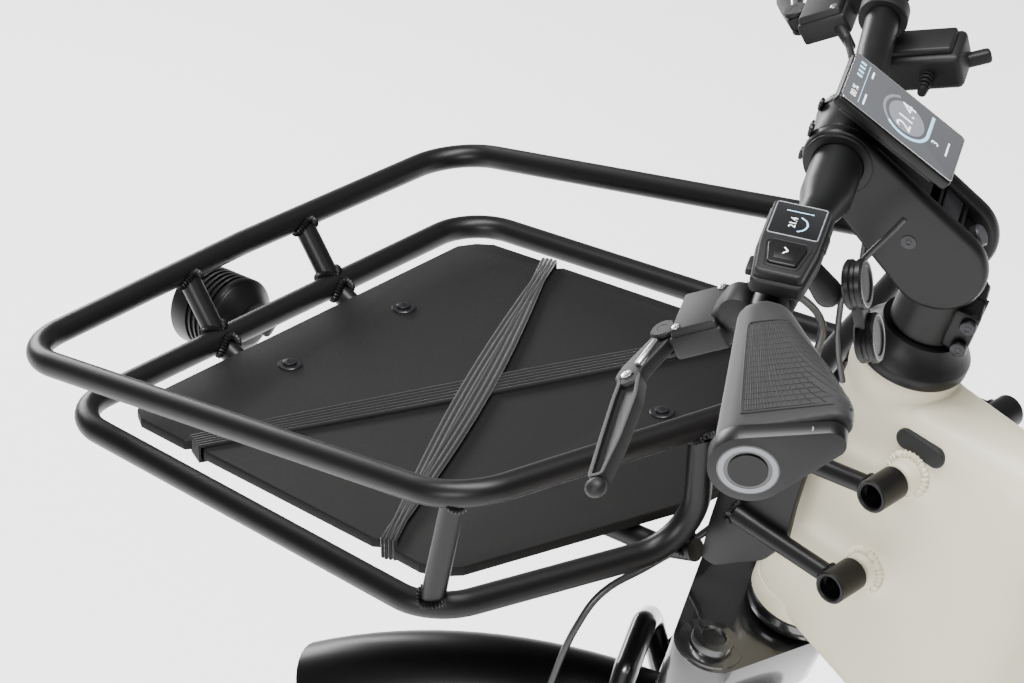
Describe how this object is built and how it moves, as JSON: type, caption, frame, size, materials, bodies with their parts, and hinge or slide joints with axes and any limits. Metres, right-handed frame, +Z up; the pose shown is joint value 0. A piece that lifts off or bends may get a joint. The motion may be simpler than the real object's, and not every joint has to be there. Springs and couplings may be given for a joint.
{
  "type": "cargo bicycle",
  "caption": "Longtail electric cargo bicycle with a frame-mounted tubular front carrier, suspension fork, turned bars, rear deck and centre stand.",
  "frame": {"origin": "on the ground, under the middle of the overall box", "axes": "+X forward, +Y to the rider's left, +Z up"},
  "size_m": [2.024, 0.633, 1.2378],
  "materials": {
    "main_frame": "matte powder coat",
    "rear_frame": "matte powder coat",
    "head_cover": "moulded, fine texture",
    "head_ring": "anodised",
    "frame_plug": "moulded",
    "battery": "textured",
    "motor": "textured housing",
    "seat_clamp": "anodised",
    "rear_fender": "satin",
    "rack_deck": "fine texture",
    "tail_light": "clear red",
    "rear_calliper": "anodised",
    "carrier_upper_rail": "satin black powder coat",
    "carrier_lower_rail": "satin black powder coat",
    "carrier_struts": "satin black powder coat",
    "carrier_brackets": "satin black powder coat",
    "carrier_deck": "fine grain coating",
    "carrier_fasteners": "stainless",
    "straps": "ribbed elastic webbing",
    "headlight_body": "anodised",
    "headlight_lens": "clear",
    "fork_upper": "gloss black",
    "stem_base": "bead blasted, anodised",
    "stem_arm": "bead blasted, anodised",
    "handlebar": "anodised",
    "grip_left": "moulded",
    "grip_right": "moulded",
    "grip_clamps": "satin",
    "display": "gloss cover",
    "remote": "satin",
    "remote_button": "satin",
    "brake_body_left": "satin",
    "brake_body_right": "satin",
    "brake_lever_left": "anodised",
    "brake_lever_right": "anodised",
    "switch_body": "satin",
    "switch_rocker": "caps with polished rims",
    "shifter": "satin",
    "hoses": "sheathed",
    "fork_lowers": "gloss black",
    "front_fender": "satin",
    "front_calliper": "anodised",
    "front_hub": "anodised",
    "front_spokes": "drawn",
    "front_rim": "anodised",
    "front_tyre": "rubber",
    "front_rotor": "ground",
    "rear_hub": "anodised",
    "rear_cog": "satin",
    "rear_spokes": "drawn",
    "rear_rim": "anodised",
    "rear_tyre": "rubber",
    "rear_rotor": "ground",
    "crankset": "anodised",
    "pedal_left": "textured",
    "pedal_right": "textured",
    "belt": "toothed belt",
    "stand": "powder coat",
    "seatpost": "anodised",
    "saddle": "synthetic cover over foam"
  },
  "bodies": {
    "frame": {"main_frame": "main_frame", "rear_frame": "rear_frame", "head_cover": "head_cover", "head_ring": "head_ring", "frame_plug": "frame_plug", "battery": "battery", "motor": "motor", "seat_clamp": "seat_clamp", "rear_fender": "rear_fender", "rack_deck": "rack_deck", "tail_light": "tail_light", "rear_calliper": "rear_calliper", "carrier_upper_rail": "carrier_upper_rail", "carrier_lower_rail": "carrier_lower_rail", "carrier_struts": "carrier_struts", "carrier_brackets": "carrier_brackets", "carrier_deck": "carrier_deck", "carrier_fasteners": "carrier_fasteners", "straps": "straps", "belt": "belt"},
    "headlight": {"headlight_body": "headlight_body", "headlight_lens": "headlight_lens"},
    "steering": {"fork_upper": "fork_upper", "stem_base": "stem_base", "stem_arm": "stem_arm", "handlebar": "handlebar", "grip_left": "grip_left", "grip_right": "grip_right", "grip_clamps": "grip_clamps", "display": "display", "remote": "remote", "brake_body_left": "brake_body_left", "brake_body_right": "brake_body_right", "switch_body": "switch_body", "shifter": "shifter", "hoses": "hoses"},
    "fork_slider": {"fork_lowers": "fork_lowers", "front_fender": "front_fender", "front_calliper": "front_calliper"},
    "front_wheel": {"front_hub": "front_hub", "front_spokes": "front_spokes", "front_rim": "front_rim", "front_tyre": "front_tyre", "front_rotor": "front_rotor"},
    "rear_wheel": {"rear_hub": "rear_hub", "rear_spokes": "rear_spokes", "rear_rim": "rear_rim", "rear_tyre": "rear_tyre", "rear_rotor": "rear_rotor"},
    "rear_pulley": {"rear_cog": "rear_cog"},
    "cranks": {"crankset": "crankset"},
    "pedal_l": {"pedal_left": "pedal_left"},
    "pedal_r": {"pedal_right": "pedal_right"},
    "remote_key": {"remote_button": "remote_button"},
    "rocker": {"switch_rocker": "switch_rocker"},
    "lever_l": {"brake_lever_left": "brake_lever_left"},
    "lever_r": {"brake_lever_right": "brake_lever_right"},
    "centre_stand": {"stand": "stand"},
    "saddle_post": {"seatpost": "seatpost", "saddle": "saddle"}
  },
  "joints": [
    {"name": "steer", "type": "hinge", "parent": "frame", "child": "steering", "pos_m": [0.39565, -0.045, 0.89354], "axis": [-0.3535, 0, 0.9354], "range_deg": [-72, 18], "deforming": ["hoses"]},
    {"name": "fork_travel", "type": "slide", "parent": "steering", "child": "fork_slider", "axis": [-0.3535, 0, 0.9354], "range_m": [0, 0.06], "stiffness_N_per_m": 9000, "springref_m": -0.04},
    {"name": "front_wheel_spin", "type": "hinge", "parent": "fork_slider", "child": "front_wheel", "pos_m": [0.64795, -0.02502, 0.33678], "axis": [-0.4247, 0.891, -0.1605], "continuous": true},
    {"name": "rear_wheel_spin", "type": "hinge", "parent": "frame", "child": "rear_wheel", "pos_m": [-0.62, -0.045, 0.34], "axis": [0, 1, 0], "continuous": true},
    {"name": "crank_spin", "type": "hinge", "parent": "frame", "child": "cranks", "pos_m": [-0.06, -0.045, 0.29], "axis": [0, 1, 0], "continuous": true},
    {"name": "pulley_spin", "type": "hinge", "parent": "frame", "child": "rear_pulley", "pos_m": [-0.62, -0.045, 0.34], "axis": [0, 1, 0], "continuous": true},
    {"name": "pedal_left_spin", "type": "hinge", "parent": "cranks", "child": "pedal_l", "pos_m": [-0.23, 0.085, 0.29], "axis": [0, 1, 0], "continuous": true},
    {"name": "pedal_right_spin", "type": "hinge", "parent": "cranks", "child": "pedal_r", "pos_m": [0.11, -0.175, 0.29], "axis": [0, 1, 0], "continuous": true},
    {"name": "brake_left", "type": "hinge", "parent": "steering", "child": "lever_l", "pos_m": [0.36663, 0.18254, 1.09959], "axis": [0.3157, 0.3119, 0.8962], "range_deg": [0, 14], "stiffness_Nm_per_rad": 2, "springref_deg": -28.65},
    {"name": "brake_right", "type": "hinge", "parent": "steering", "child": "lever_r", "pos_m": [0.52121, -0.14179, 1.158], "axis": [-0.3157, -0.3119, -0.8962], "range_deg": [0, 14], "stiffness_Nm_per_rad": 2, "springref_deg": -28.65},
    {"name": "remote_press", "type": "slide", "parent": "steering", "child": "remote_key", "axis": [0.1725, -0.0944, -0.9805], "range_m": [0, 0.0012], "stiffness_N_per_m": 900, "springref_m": -0.001},
    {"name": "rocker_tilt", "type": "hinge", "parent": "steering", "child": "rocker", "pos_m": [0.29856, 0.09531, 1.107], "axis": [-0.4247, 0.891, -0.1605], "range_deg": [-5, 5], "stiffness_Nm_per_rad": 0.3},
    {"name": "headlight_tilt", "type": "hinge", "parent": "frame", "child": "headlight", "pos_m": [0.943, -0.045, 0.829], "axis": [0, 1, 0], "range_deg": [-8, 12]},
    {"name": "stand_fold", "type": "hinge", "parent": "frame", "child": "centre_stand", "pos_m": [-0.262, -0.045, 0.195], "axis": [0, 1, 0], "range_deg": [0, 80]},
    {"name": "saddle_height", "type": "slide", "parent": "frame", "child": "saddle_post", "axis": [-0.309, 0, 0.9511], "range_m": [-0.06, 0.06]}
  ],
  "couplings": [
    {"joint": "pulley_spin", "follows": "crank_spin", "ratio": 1.95}
  ]
}
